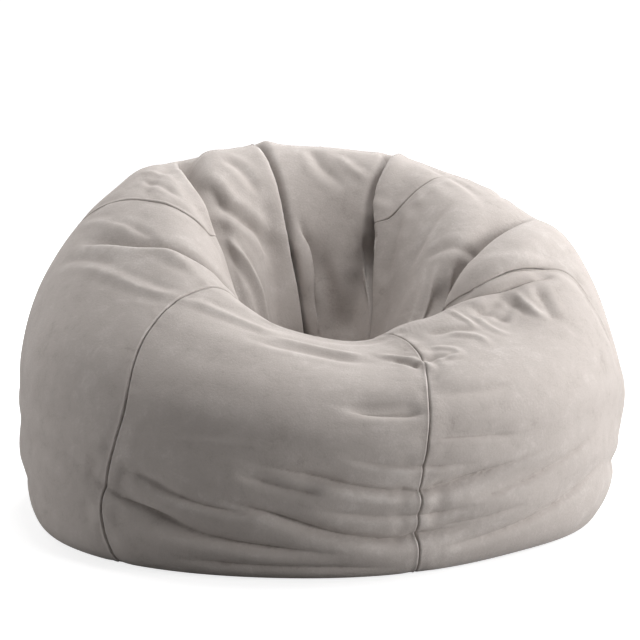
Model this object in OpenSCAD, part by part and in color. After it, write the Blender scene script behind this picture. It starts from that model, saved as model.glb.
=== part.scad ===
// Bean bag chair: a round six-gore slipcover over a zipped liner of polystyrene beads.
// The bag stands on z = 0 with its seat hollow open upwards and its low front lip towards -Y.
// The skin follows one surface, skin(azimuth, t): t = 0 is the edge of the base panel, t = 1 the
// widest level of the wall, t = 2 the top of the rim and t = 3 the edge of the cap in the hollow.

/* [Overall size] */
// Overall width, left to right
width = 1040; // [900:10:1150]
// Overall depth, front lip to back
depth = 1000; // [880:10:1100]
// Height of the rim at the back
back_height = 592; // [520:2:640]
// Height of the rim at the arms
side_height = 498; // [440:2:540]
// Height of the rim at the front lip
front_height = 360; // [320:2:400]
// How much higher the left arm stands than the mean of both arms
left_lift = 22; // [0:1:30]

/* [Wall] */
// Height at which the wall is widest
bulge_height = 220; // [190:5:240]
// Radius of the round base panel
base_radius = 440; // [415:5:450]
// Exponent of the wall's curve below its widest level
lower_squareness = 3.1; // [2.4:0.1:3.4]
// Exponent of the wall's curve above its widest level
upper_squareness = 2.05; // [2:0.05:2.4]

/* [Seat hollow] */
// Distance of the rim from the hollow's axis at the front
front_rim = 235; // [210:5:250]
// Distance of the rim from the hollow's axis at the arms
side_rim = 290; // [270:5:310]
// Distance of the rim from the hollow's axis at the back
back_rim = 325; // [310:5:360]
// How far inwards the rim at the front and back stays high, as a share of the way to the cap
end_shoulder = 0.5; // [0.3:0.05:0.8]
// How far inwards the rim at the arms stays high, as a share of the way to the cap
arm_shoulder = 0.75; // [0.5:0.05:0.85]
// Height of the hollow's floor
seat_floor_height = 150; // [140:5:200]
// How far the hollow's floor lies in front of the bag's centre
seat_shift = 40; // [20:5:60]
// Radius of the round cap that joins the gores in the hollow
cap_radius = 50; // [40:5:60]

/* [Cloth] */
// Thickness of the cover's pile fabric
cover_cloth = 2; // [1.5:0.1:2.5]
// Thickness of the liner's plain fabric
liner_cloth = 1; // [0.8:0.1:1.2]
// Depth of the liner's outside below the cover's outside
liner_inset = 5; // [4.5:0.5:6]
// Depth of the beads below the cover's outside
fill_inset = 10; // [9:0.5:14]

/* [Base zip] */
// Length of the window in the base panels
zip_window = 800; // [700:10:800]
// Length of the row of zip teeth
zip_length = 760; // [660:10:760]
// Width of one tape
tape_width = 15; // [13:0.5:16]

/* [Liner zip] */
// Length of the liner's row of zip teeth
liner_zip_length = 560; // [400:10:600]

/* [Hidden] */
SIDES = ["front", "front_right", "back_right", "back", "back_left", "front_left"];
NODES = concat(
    [for (s = SIDES) str("gore_", s)],
    ["top_cap", "base_panel_front", "base_panel_back", "zip_placket_front", "zip_placket_back",
     "zip_end_tabs", "zip_tape_front", "zip_tape_back", "zip_teeth_front", "zip_teeth_back",
     "zip_stops", "zip_slider", "zip_pull"],
    [for (s = SIDES) str("liner_gore_", s)],
    ["liner_cap", "liner_base_left", "liner_base_right", "liner_zip_tape_left",
     "liner_zip_tape_right", "liner_zip_teeth_left", "liner_zip_teeth_right", "liner_zip_slider",
     "bean_fill"]);

cover_colour = [0.68, 0.65, 0.63];
liner_colour = [0.90, 0.89, 0.86];
tape_colour = [0.55, 0.53, 0.51];
metal_colour = [0.70, 0.70, 0.72];
bead_colour = [0.97, 0.97, 0.96];

gore_count = 6;
gore_angle = 360 / gore_count;
first_seam = 229;      // azimuth of the front gore's left seam; the front is at 270
t_end = 3;
seam_gap = 0.8;        // between a round panel and the chords of the gores' edges

steps = [10, 24];      // facets of a gore in every layer: across it, along it

// Heights of the layers at the base, from the floor up
placket_z = 6.4;
placket_cloth = 1.5;
tape_cloth = 0.8;
teeth_height = 2.2;
tape_z = placket_z + placket_cloth;
chain_z = tape_z + tape_cloth / 2;
liner_base_z = 13;
fill_base_z = 20;

placket_edge = 8;      // from the zip's middle to the placket's folded edge
placket_top = 22;      // where the placket's flat top ends
window_half = 34;      // half the width of the window in the base panels
placket_lap = 14;      // how far the placket lies on the base panel
run = 0.3;             // clearance all round the slider's channel
post_half = 0.3;       // half the thickness of the post that joins the slider's plates
teeth_gap = post_half + run; // from the zip's middle to each row, so that the post can pass
teeth_width = 3.2;     // from the zip's middle to a row's outer edge
tape_start = 1.3;      // from the zip's middle to a tape's edge inside its row
slider_wall = 0.9;
slider_length = 12;
slider_half = 4.6;
lug_height = 1.9;
lug_bar = 0.7;
pull_length = 24;
pull_width = 7;
pull_cloth = 1;
axle_radius = 0.45;
liner_slot = 6;        // half the width of the slot in the liner's base

// ---- the skin's surface ----

function clamp01(x) = min(max(x, 0), 1);
function ease(x) = let (c = clamp01(x)) c * c * (3 - 2 * c);

// A value that passes through front, side and back values round the bag
function around(a, front, side, back) =
    let (mean = (front + back) / 2)
    (mean + side) / 2 + (back - front) / 2 * sin(a) - (mean - side) / 2 * cos(2 * a);

function rim_height(a) = around(a, front_height, side_height, back_height) - left_lift * cos(a);
function rim_radius(a) = around(a, front_rim, side_rim, back_rim);
function rim_shoulder(a) = around(a, end_shoulder, arm_shoulder, end_shoulder);
function wall_radius(a) = 1 / sqrt(pow(2 * cos(a) / width, 2) + pow(2 * sin(a) / depth, 2));

// A quarter of a superellipse: [share across, share up] at angle p
function quarter(p, n) =
    let (k = 1 / pow(pow(cos(p), n) + pow(sin(p), n), 1 / n)) [k * cos(p), k * sin(p)];

function bezier(p, u) =
    pow(1 - u, 3) * p[0] + 3 * u * pow(1 - u, 2) * p[1] + 3 * u * u * (1 - u) * p[2] + u * u * u * p[3];

// [radius, height] of the skin in the half plane at azimuth a
function profile(a, t) =
    t <= 1 ? let (q = quarter(90 * (1 - t), lower_squareness))
        [base_radius + (wall_radius(a) - base_radius) * q[0], bulge_height * (1 - q[1])] :
    t <= 2 ? let (q = quarter(90 * (t - 1), upper_squareness))
        [rim_radius(a) + (wall_radius(a) - rim_radius(a)) * q[0],
         bulge_height + (rim_height(a) - bulge_height) * q[1]] :
    let (rim = [rim_radius(a), rim_height(a)], floor = [cap_radius, seat_floor_height],
         reach = rim[0] - cap_radius)
        bezier([rim, rim - [rim_shoulder(a) * reach, 0], floor + [0.15 * reach, 0], floor], t - 2);

function skin(a, t) =
    let (c = min(max(t, 0), t_end), p = profile(a, c))
    [p[0] * cos(a), p[0] * sin(a) - seat_shift * ease((c - 1) / 1.6), p[1]];

// The same point moved inwards along the surface's normal, and never below lowest
function inset_skin(a, t, inset, lowest) =
    let (step = 0.01,
         across = skin(a + 1, t) - skin(a - 1, t),
         along = skin(a, t + step) - skin(a, t - step),
         n = cross(across, along),
         p = skin(a, t) - inset * n / norm(n))
    [p[0], p[1], max(p[2], lowest)];

// ---- cloth built from that surface ----

function sheet_points(from, across, along, inset, lowest) =
    [for (j = [0:along], i = [0:across])
        inset_skin(from + gore_angle * i / across, t_end * j / along, inset, lowest)];

// Faces of a closed panel: an outer grid of points, an inner one, and the four edges between them
function panel_faces(across, along) =
    let (w = across + 1, n = w * (along + 1), last = along * w)
    concat(
        [for (j = [0:along - 1], i = [0:across - 1], k = [0, 1]) let (p = j * w + i)
            k == 0 ? [p, p + w, p + w + 1] : [p, p + w + 1, p + 1]],
        [for (j = [0:along - 1], i = [0:across - 1], k = [0, 1]) let (p = n + j * w + i)
            k == 0 ? [p, p + w + 1, p + w] : [p, p + 1, p + w + 1]],
        [for (i = [0:across - 1], k = [0, 1]) let (p = i)
            k == 0 ? [p, p + 1, n + p + 1] : [p, n + p + 1, n + p]],
        [for (i = [0:across - 1], k = [0, 1]) let (p = last + i)
            k == 0 ? [p, n + p + 1, p + 1] : [p, n + p, n + p + 1]],
        [for (j = [0:along - 1], k = [0, 1]) let (p = j * w)
            k == 0 ? [p, n + p, n + p + w] : [p, n + p + w, p + w]],
        [for (j = [0:along - 1], k = [0, 1]) let (p = j * w + across)
            k == 0 ? [p, n + p + w, n + p] : [p, p + w, n + p + w]]);

module gore_panel(index, inset, cloth, lowest) {
    from = first_seam + gore_angle * index;
    polyhedron(
        concat(sheet_points(from, steps[0], steps[1], inset, lowest),
               sheet_points(from, steps[0], steps[1], inset + cloth, lowest + cloth)),
        panel_faces(steps[0], steps[1]));
}

module gore(index) {
    color(cover_colour) gore_panel(index, 0, cover_cloth, 0);
}

module liner_gore(index) {
    color(liner_colour) gore_panel(index, liner_inset, liner_cloth, liner_base_z);
}

module cap(inset, cloth) {
    translate([0, -seat_shift, seat_floor_height - inset - cloth])
        cylinder(h = cloth, r = cap_radius - seam_gap, $fn = 64);
}

module top_cap() {
    color(cover_colour) cap(0, cover_cloth);
}

module liner_cap() {
    color(liner_colour) cap(liner_inset, liner_cloth);
}

// ---- the cover's base and its zip, which runs along X ----

// Mirrors a front piece, drawn at positive y, to the front (-1) or leaves it at the back (1)
module at_side(side) {
    scale_y = side;
    if (scale_y < 0) mirror([0, 1, 0]) children();
    else children();
}

module half_disc(r, thickness) {
    intersection() {
        cylinder(h = thickness, r = r, $fn = 128);
        translate([-r, 0, 0]) cube([2 * r, r, thickness]);
    }
}

module base_panel(side) {
    color(cover_colour) at_side(side) difference() {
        half_disc(base_radius - seam_gap, cover_cloth);
        translate([-zip_window / 2, -1, -1]) cube([zip_window, window_half + 1, cover_cloth + 2]);
    }
}

// A strip that rises from the base panel to the zip, so that the zip stays clear of the floor
module zip_placket(side) {
    top = placket_z + placket_cloth;
    foot = cover_cloth + placket_cloth;
    color(cover_colour) at_side(side)
        translate([-zip_window / 2, 0, 0]) rotate([90, 0, 90]) linear_extrude(zip_window)
            polygon([[placket_edge, placket_z], [placket_top, placket_z],
                     [window_half, cover_cloth], [window_half + placket_lap, cover_cloth],
                     [window_half + placket_lap, foot], [window_half + placket_cloth, foot],
                     [placket_top + placket_cloth, top], [placket_edge, top]]);
}

// Two patches that close the window's ends
module zip_end_tabs() {
    wall = placket_cloth;
    color(cover_colour) for (x = [-1, 1])
        translate([x * (zip_window / 2 + wall / 2) - wall / 2, -window_half, cover_cloth])
            cube([wall, 2 * window_half, tape_z - cover_cloth]);
}

module tape(length) {
    translate([-length / 2, tape_start, -tape_cloth / 2])
        cube([length, tape_width, tape_cloth]);
}

// One row of the coil, as the plain bar that the slider runs on
module teeth_row(length) {
    difference() {
        translate([-length / 2, teeth_gap, -teeth_height / 2])
            cube([length, teeth_width - teeth_gap, teeth_height]);
        translate([-length / 2 - 1, tape_start, -tape_cloth / 2])
            cube([length + 2, teeth_width, tape_cloth]);
    }
}

module zip_tape(side) {
    color(tape_colour) translate([0, 0, chain_z]) at_side(side) tape(zip_window - 20);
}

module zip_teeth(side) {
    color(tape_colour) translate([0, 0, chain_z]) at_side(side) teeth_row(zip_length);
}

// Two wire stops pressed on past the ends of the teeth
module zip_stops() {
    stop = [3, 5, 2.8];
    color(metal_colour) for (x = [-1, 1])
        translate([x * (zip_length / 2 + stop[0] / 2 + 0.2), 0, chain_z]) difference() {
            cube(stop, center = true);
            for (y = [-1, 1]) translate([0, y * (stop[1] / 2 + tape_start), 0])
                cube([stop[0] + 1, stop[1], tape_cloth], center = true);
        }
}

// A slider that wraps the chain, with its blunt end towards +X
module slider_body() {
    plate = teeth_height / 2 + run + slider_wall;
    difference() {
        intersection() {
            translate([-slider_length / 2, -slider_half, -plate])
                cube([slider_length, 2 * slider_half, 2 * plate]);
            translate([slider_length * 0.12, 0, -plate])
                cylinder(h = 2 * plate, r = slider_length * 0.62, $fn = 48);
        }
        cube([slider_length + 2, 2 * (teeth_width + run), teeth_height + 2 * run], center = true);
        cube([slider_length + 2, 2 * slider_half + 2, tape_cloth + 2 * run], center = true);
    }
    // the post that joins the plates and parts the two rows
    translate([slider_length / 6, 0, 0])
        cube([slider_length / 3, 2 * post_half, 2 * plate], center = true);
}

slider_x = zip_length / 2 - slider_length / 2 - 2;
lug_z = chain_z - teeth_height / 2 - run - slider_wall;
axle_z = lug_z - lug_height + lug_bar + axle_radius + 0.05;

module zip_slider() {
    arch = 5;
    post = 1;
    color(metal_colour) union() {
        translate([slider_x, 0, chain_z]) slider_body();
        translate([slider_x, 0, lug_z]) difference() {
            translate([-arch / 2, -1, -lug_height]) cube([arch, 2, lug_height + 0.3]);
            translate([-arch / 2 + post, -2, -lug_height + lug_bar])
                cube([arch - 2 * post, 4, lug_height - lug_bar]);
        }
    }
}

// A flat tab whose round axle passes through the lug; it lies along the zip
module zip_pull() {
    slot_half = 1.3;
    slot_length = 6;
    color(metal_colour) translate([slider_x, 0, axle_z]) union() {
        rotate([90, 0, 0])
            cylinder(h = 2 * slot_half + 0.4, r = axle_radius, center = true, $fn = 24);
        difference() {
            union() {
                rotate([90, 0, 0])
                    cylinder(h = pull_width, r = pull_cloth / 2, center = true, $fn = 24);
                translate([-pull_length, -pull_width / 2, -pull_cloth / 2])
                    cube([pull_length, pull_width, pull_cloth]);
            }
            translate([-slot_length, -slot_half, -pull_cloth])
                cube([slot_length + 1, 2 * slot_half, 2 * pull_cloth]);
        }
    }
}

// ---- the liner's base and its zip, which runs along Y ----

liner_chain_z = liner_base_z + liner_cloth + tape_cloth / 2;

module liner_base(side) {
    r = base_radius - seam_gap;
    color(liner_colour) rotate([0, 0, 90]) at_side(-side)
        translate([0, 0, liner_base_z]) difference() {
            half_disc(r, liner_cloth);
            translate([-liner_zip_length / 2 - 10, -1, -1])
                cube([liner_zip_length + 20, liner_slot + 1, liner_cloth + 2]);
        }
}

module liner_zip_tape(side) {
    color(tape_colour) translate([0, 0, liner_chain_z]) rotate([0, 0, 90]) at_side(-side)
        tape(liner_zip_length + 40);
}

module liner_zip_teeth(side) {
    color(tape_colour) translate([0, 0, liner_chain_z]) rotate([0, 0, 90]) at_side(-side)
        teeth_row(liner_zip_length);
}

// The liner's slider has no pull, so that a child can't open the liner
module liner_zip_slider() {
    color(metal_colour)
        translate([0, liner_zip_length / 2 - slider_length / 2 - 2, liner_chain_z])
            rotate([0, 0, 90]) slider_body();
}

// ---- the beads ----

// Loose polystyrene beads settled inside the liner, as one closed mass
module bean_fill() {
    across = gore_count * steps[0];
    along = steps[1];
    last = along * across;
    color(bead_colour) polyhedron(
        [for (j = [0:along], i = [0:across - 1])
            inset_skin(first_seam + 360 * i / across, t_end * j / along, fill_inset, fill_base_z)],
        concat(
            [for (j = [0:along - 1], i = [0:across - 1], k = [0, 1])
                let (p = j * across + i, q = j * across + (i + 1) % across)
                k == 0 ? [p, p + across, q + across] : [p, q + across, q]],
            [[for (i = [0:across - 1]) i]],
            [[for (i = [across - 1:-1:0]) last + i]]));
}

module part(name) {
    for (i = [0:gore_count - 1]) {
        if (name == str("gore_", SIDES[i])) gore(i);
        if (name == str("liner_gore_", SIDES[i])) liner_gore(i);
    }
    if (name == "top_cap") top_cap();
    if (name == "base_panel_front") base_panel(-1);
    if (name == "base_panel_back") base_panel(1);
    if (name == "zip_placket_front") zip_placket(-1);
    if (name == "zip_placket_back") zip_placket(1);
    if (name == "zip_end_tabs") zip_end_tabs();
    if (name == "zip_tape_front") zip_tape(-1);
    if (name == "zip_tape_back") zip_tape(1);
    if (name == "zip_teeth_front") zip_teeth(-1);
    if (name == "zip_teeth_back") zip_teeth(1);
    if (name == "zip_stops") zip_stops();
    if (name == "zip_slider") zip_slider();
    if (name == "zip_pull") zip_pull();
    if (name == "liner_cap") liner_cap();
    if (name == "liner_base_left") liner_base(-1);
    if (name == "liner_base_right") liner_base(1);
    if (name == "liner_zip_tape_left") liner_zip_tape(-1);
    if (name == "liner_zip_tape_right") liner_zip_tape(1);
    if (name == "liner_zip_teeth_left") liner_zip_teeth(-1);
    if (name == "liner_zip_teeth_right") liner_zip_teeth(1);
    if (name == "liner_zip_slider") liner_zip_slider();
    if (name == "bean_fill") bean_fill();
}

for (n = NODES) part(n);
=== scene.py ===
"""A bean bag chair: six gores of suede cloth round a scooped seat, with a zipped base, a liner and beads.

The skin is one surface over the azimuth (degrees, 270 is the front) and a run t: 0 at the base's seam,
1 at the widest place, 2 on the rim and 3 at the round panel in the seat. The big folds are laid in first,
a small cloth solver adds the relief of slack cloth, and the single wrinkles come last. Lengths are in
metres, unless a comment says otherwise.
"""

import bmesh
import bpy
import numpy as np
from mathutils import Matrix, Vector


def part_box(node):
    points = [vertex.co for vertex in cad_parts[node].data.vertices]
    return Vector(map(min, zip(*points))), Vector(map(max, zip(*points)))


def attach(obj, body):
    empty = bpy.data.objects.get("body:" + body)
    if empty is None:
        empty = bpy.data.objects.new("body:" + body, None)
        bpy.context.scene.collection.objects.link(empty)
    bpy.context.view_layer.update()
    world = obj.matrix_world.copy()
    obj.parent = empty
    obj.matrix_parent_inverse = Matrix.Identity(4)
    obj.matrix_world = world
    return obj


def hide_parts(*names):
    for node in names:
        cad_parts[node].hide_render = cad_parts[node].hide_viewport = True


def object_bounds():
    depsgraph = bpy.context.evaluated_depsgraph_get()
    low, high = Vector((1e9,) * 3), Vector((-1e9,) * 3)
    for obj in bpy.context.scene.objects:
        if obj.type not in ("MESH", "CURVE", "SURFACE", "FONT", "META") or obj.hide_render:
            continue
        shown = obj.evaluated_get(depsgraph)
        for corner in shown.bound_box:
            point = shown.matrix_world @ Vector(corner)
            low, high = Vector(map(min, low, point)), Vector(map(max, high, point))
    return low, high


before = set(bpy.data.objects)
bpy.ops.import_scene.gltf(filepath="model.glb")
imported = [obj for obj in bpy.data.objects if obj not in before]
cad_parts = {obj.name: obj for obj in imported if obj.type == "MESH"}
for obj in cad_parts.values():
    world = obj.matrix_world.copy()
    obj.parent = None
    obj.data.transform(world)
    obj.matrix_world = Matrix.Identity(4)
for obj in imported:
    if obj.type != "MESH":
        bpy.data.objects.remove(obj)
cad_box = [list(map(float, corner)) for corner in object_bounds()]

# ---- the driving dimensions; three values are for the front, the sides and the back ----

SIDES = ("front", "front_right", "back_right", "back", "back_left", "front_left")
FIRST_SEAM = 229  # azimuth of the front's left seam
WIDTH = cad_box[1][0] - cad_box[0][0]
DEPTH = cad_box[1][1] - cad_box[0][1]
BULGE, BASE = 0.220, 0.440  # height of the widest place, radius of the base's seam
LOWER, UPPER = 3.1, 2.05  # how square the wall is below and above the widest place
RIM_HEIGHT = (0.360, 0.498, 0.592)
RIM_RADIUS = (0.235, 0.290, 0.325)
LIFT = 0.022  # the rim is higher on the left and lower on the right
SHOULDER, FOOT = (0.50, 0.75, 0.50), 0.15  # where the seat's wall drops and lands, as shares of its radius
SHIFT, CAP = 0.040, 0.050  # how far forward the seat lies, radius of its round panel
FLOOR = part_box("top_cap")[1].z
CLOTH = 0.0018
# middle azimuth, half width in degrees, size: how the base settles, and how the rim dips at the front
SETTLING = ((214, 20, 0.026), (238, 22, 0.018), (308, 20, -0.011), (337, 13, 0.007))
RIM_DIPS = ((294, 26, 0.019), (262, 22, 0.004), (331, 16, 0.034))


# ---- the smooth shape ----

def ease(x):
    """A smooth step from 0 to 1."""
    x = np.clip(x, 0, 1)
    return x * x * (3 - 2 * x)


def size(v):
    return np.linalg.norm(v, axis=-1)


def unit(v):
    return v / (np.linalg.norm(v, axis=-1, keepdims=True) + 1e-12)


def run_along(points):
    """The distance of each point from the first, along the line."""
    return np.concatenate([[0], np.cumsum(size(np.diff(points, axis=0)))])


def around(a, values):
    """A value that changes smoothly round the bag, given at its front, sides and back."""
    front, side, back = values
    mean = (front + back) / 2
    return (mean + side) / 2 + (back - front) / 2 * np.sin(a) - (mean - side) / 2 * np.cos(2 * a)


def quarter(p, n):
    """A quarter of a superellipse; a higher n is squarer."""
    c, s = np.abs(np.cos(p)), np.abs(np.sin(p))
    k = 1 / (c ** n + s ** n) ** (1 / n)
    return k * c, k * s


def bump(x, middle, width):
    """A bump round an azimuth."""
    return np.exp(-(((x - middle + 180) % 360 - 180) / width) ** 2)


def bumps(azimuth, rows):
    return sum(height * bump(azimuth, middle, width) for middle, width, height in rows)


def seat_shift(t):
    return SHIFT * ease((t - 1) / 1.6)


def smooth_shape(azimuth, t):
    """Points of the skin without folds; azimuth in degrees."""
    a = np.radians(azimuth)
    h, rim = around(a, RIM_HEIGHT) - LIFT * np.cos(a), around(a, RIM_RADIUS)
    wall = 1 / np.sqrt((2 * np.cos(a) / WIDTH) ** 2 + (2 * np.sin(a) / DEPTH) ** 2)
    q = quarter(np.pi / 2 * (1 - np.clip(t, 0, 1)), LOWER)
    low = BASE + (wall - BASE) * q[0], BULGE * (1 - q[1])
    q = quarter(np.pi / 2 * np.clip(t - 1, 0, 1), UPPER)
    top = rim + (wall - rim) * q[0], BULGE + (h - BULGE) * q[1]
    u, reach = np.clip(t - 2, 0, 1), rim - CAP
    b = (1 - u) ** 3, 3 * u * (1 - u) ** 2, 3 * u * u * (1 - u), u ** 3
    drop, foot = rim - around(a, SHOULDER) * reach, CAP + FOOT * reach
    seat = (b[0] * rim + b[1] * drop + b[2] * foot + b[3] * CAP, (b[0] + b[1]) * h + (b[2] + b[3]) * FLOOR)
    r, z = (np.where(t <= 1, low[k], np.where(t <= 2, top[k], seat[k])) for k in (0, 1))
    r = r + (1 - ease((t - 0.35) / 0.8)) * bumps(azimuth, SETTLING)
    z = z - ease((t - 1.1) / 0.7) * (1 - ease((t - 2.0) / 0.8)) * bumps(azimuth, RIM_DIPS)
    return np.stack([r * np.cos(a), r * np.sin(a) - seat_shift(t), z], -1)


def curve(t, points):
    """A smooth line through points given as t, value, t, value and so on."""
    x, y = np.array(points, float).reshape(-1, 2).T
    m = np.gradient(y, x) if len(x) > 2 else np.full(len(x), (y[-1] - y[0]) / (x[-1] - x[0]))
    tt = np.clip(t, x[0], x[-1])
    k = np.clip(np.searchsorted(x, tt, side="right") - 1, 0, len(x) - 2)
    h = x[k + 1] - x[k]
    s = (tt - x[k]) / h
    return ((2 * s ** 3 - 3 * s ** 2 + 1) * y[k] + (s ** 3 - 2 * s ** 2 + s) * h * m[k]
            + (-2 * s ** 3 + 3 * s ** 2) * y[k + 1] + (s ** 3 - s ** 2) * h * m[k + 1])


def slopes(x):
    """Differences across the columns, which close into a ring, and along the rows."""
    return (np.roll(x, -1, 1) - np.roll(x, 1, 1)) / 2, np.gradient(x, axis=0)


def normals(x):
    across, along = slopes(x)
    return unit(np.cross(across, along))


def catmull(p, f):
    """The curve through four neighbours p, at a share f of the way from the second to the third."""
    return p[1] + 0.5 * f * (p[2] - p[0] + f * (2 * p[0] - 5 * p[1] + 4 * p[2] - p[3]
                                                + f * (3 * (p[1] - p[2]) + p[3] - p[0])))


def resampled(x, at):
    """x along its first axis at fractional places."""
    i = np.clip(at.astype(int), 0, len(x) - 2)
    f = (at - i).reshape((-1,) + (1,) * (x.ndim - 1))
    return catmull([x[np.clip(i + k, 0, len(x) - 1)] for k in (-1, 0, 1, 2)], f)


def soft_noise(shape, cells, seed):
    """Smooth noise of about unit size, periodic across the columns."""
    rng = np.random.default_rng(seed)
    g = rng.standard_normal((cells[0] + 3, cells[1]))
    g = np.concatenate([g, g[:, :3]], 1)
    y = np.linspace(0, cells[0] - 1e-6, shape[0])
    x = np.arange(shape[1]) / shape[1] * cells[1]

    def weights(f):
        return ((1 - f) ** 3 / 6, (3 * f ** 3 - 6 * f ** 2 + 4) / 6,
                (-3 * f ** 3 + 3 * f ** 2 + 3 * f + 1) / 6, f ** 3 / 6)

    iy, ix = y.astype(int), x.astype(int)
    rows = sum(w[:, None] * g[iy + k] for k, w in enumerate(weights(y - iy)))
    return 1.7 * sum(w[None] * rows[:, ix + k] for k, w in enumerate(weights(x - ix)))


# how each seam's azimuth wanders, as t, degrees, t, degrees and so on, from the front's left seam round
WANDER = (
    (0, -3.4, 0.12, -2.6, 0.26, 1, 0.42, 0.8, 0.65, -0.6, 1.2, 3, 1.6, -1, 1.85, -4, 2.3, -6, 3, 0),
    (0, 1, 1, 1, 1.48, 4.5, 1.66, 7.5, 1.82, 10, 1.96, 11, 2.3, 6, 3, 0),
    (0, 2, 1.1, 2.5, 1.4, 3.5, 1.58, 6.5, 1.7, 4.2, 1.84, -1, 1.92, -6.5, 1.98, -13, 2.1, -20, 2.4, -20,
     3, -6),
    (0, -3, 1, -4, 2, -4, 2.15, -2, 2.27, 2.5, 2.35, 5.6, 2.45, -3.6, 2.55, -18.8, 2.65, -27.5, 3, -28),
    (0, 0, 1.8, 1.4, 1.95, 2.7, 2.15, 2.2, 2.25, 1.6, 2.35, 0.8, 2.45, -0.3, 2.55, -1.3, 2.65, -2, 3, -5),
    (0, -1, 1.65, -1, 1.9, 1, 2.05, 3, 2.2, 2, 2.35, -5, 2.6, -4, 3, 0),
)


def wander(cloth, t):
    """The azimuth of a place on the cloth, whose seams are every 60 degrees."""
    v = np.stack([curve(t, w) for w in WANDER])
    p = ((cloth - FIRST_SEAM) % 360) / 60
    k = np.floor(p).astype(int) % 6
    f = p - np.floor(p)
    a, b = (np.take_along_axis(v, ((k + o) % 6)[None], 0)[0] for o in (0, 1))
    return cloth + a * (1 - f) + b * f


# ---- the big folds, which run over the rim into the seat ----
# path as t, azimuth and so on; start and full t; the side that lies on top; depth and width of the valley;
# overlap, lift and width of the fold
CREASES = (
    ((1.75, 127, 1.9, 136, 2.0, 141, 2.12, 148, 2.22, 152, 2.29, 158, 2.36, 164.5, 2.42, 171, 2.5, 177,
      2.6, 180, 3, 181),
     (1.8, 2.02), 1, 0.042, 0.030, 0.026, 0.018, 0.013),
    ((1.6, 181, 1.7, 187, 1.8, 192, 1.95, 200, 2.1, 206, 2.3, 213, 2.6, 218, 3, 220),
     (1.62, 1.92), 1, 0.032, 0.020, 0.024, 0.014, 0.012),
    ((1.8, 65, 1.95, 66, 2.1, 64.5, 2.22, 64.5, 2.31, 62, 2.4, 57, 2.48, 49, 2.55, 39, 2.65, 30, 3, 22),
     (1.85, 2.1), -1, 0.060, 0.013, 0.028, 0.012, 0.012),
    ((1.8, 109, 1.95, 110, 2.2, 108.5, 2.37, 106.5, 2.54, 103.5, 3, 99),
     (1.85, 2.15), 1, 0.036, 0.010, 0.018, 0.008, 0.008),
)
NARROW = 0.12  # folds and wrinkles get smaller where the seat's radius is less than this

# soft swellings: azimuth, t, half widths in both, height
SWELLINGS = (
    (149, 1.82, 9, 0.10, 0.012), (161, 1.70, 9, 0.14, 0.004), (108, 1.93, 5, 0.12, 0.010),
    (66, 1.92, 7, 0.10, 0.008), (14, 1.56, 14, 0.24, 0.018), (353, 0.98, 9, 0.16, 0.012),
    (190, 1.20, 9, 0.20, -0.005), (194, 0.70, 9, 0.20, -0.005), (128, 1.95, 6, 0.10, 0.004),
    (270, 0.55, 22, 0.25, 0.006), (300, 1.50, 9, 0.20, 0.006), (330, 1.55, 14, 0.20, 0.005),
    (40, 1.75, 9, 0.14, 0.006), (85, 1.70, 12, 0.18, 0.008), (125, 1.55, 12, 0.18, 0.008),
    (100, 0.60, 20, 0.25, 0.008), (55, 0.65, 14, 0.25, 0.007), (165, 0.60, 14, 0.25, 0.007),
    (250, 1.35, 14, 0.20, 0.006), (215, 1.40, 12, 0.20, 0.005),
)


def swollen(azimuth, t):
    return sum(h * bump(azimuth, a, wa) * np.exp(-((t - at) / wt) ** 2) for a, at, wa, wt, h in SWELLINGS)


def s_fold(u):
    """An S across a fold, about 1 high, which fades on both sides."""
    return 1.25 * np.tanh(2.6 * u) * np.exp(-(u / 1.35) ** 2)


def creased(azimuth, t, x):
    """x with the big folds in it, and how far each place is tucked into one, 0 to 1."""
    n = normals(x)
    across, along = slopes(x)
    side = unit(across)
    side = unit(side - n * (side * n).sum(-1, keepdims=True))
    r = np.hypot(x[..., 0], x[..., 1] + seat_shift(t))
    per_t = size(along) / (np.abs(np.gradient(t, axis=0)) + 1e-9)
    out, over, tucked, step = np.zeros(t.shape), np.zeros(t.shape), np.zeros(t.shape), 1e-3
    for path, (start, full), top, depth, wide, overlap, lift, width in CREASES:
        slope = (curve(t + step, path) - curve(t - step, path)) / (2 * step) * np.pi / 180 * r / per_t
        d = ((azimuth - curve(t, path) + 180) % 360 - 180) * np.pi / 180 * r / np.sqrt(1 + slope ** 2)
        s = ease((t - start) / (full - start)) * (1 - ease((t - 2.75) / 0.25))
        k = np.clip(r / NARROW, 0.35, 1)
        d = d - top * s * k * (0.94 * overlap - 0.6 * width)  # so that the lip follows the path
        fold = s_fold(d / (width * k))
        under = d * top + width * k  # deepest under the lip
        tucked = np.maximum(tucked, s * np.exp(-(d / (1.5 * width * k)) ** 4))
        out += s * k * (-depth * np.exp(-(under / (wide * k)) ** 2) + lift * top * fold)
        over -= s * k * overlap * fold
    return x + n * out[..., None] + side * over[..., None], tucked


# ---- the cloth solver ----

COLUMNS, ROWS, SOLVER_STEPS = 432, 168, 300


def even_rows(count):
    """Values of t at even steps along the skin."""
    t = np.linspace(0, 3, 3001)
    run = sum(run_along(smooth_shape(a + 0 * t, t)) for a in (90, 180, 270, 0))
    return np.interp(np.linspace(0, 1, count), run / run[-1], t)


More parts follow.
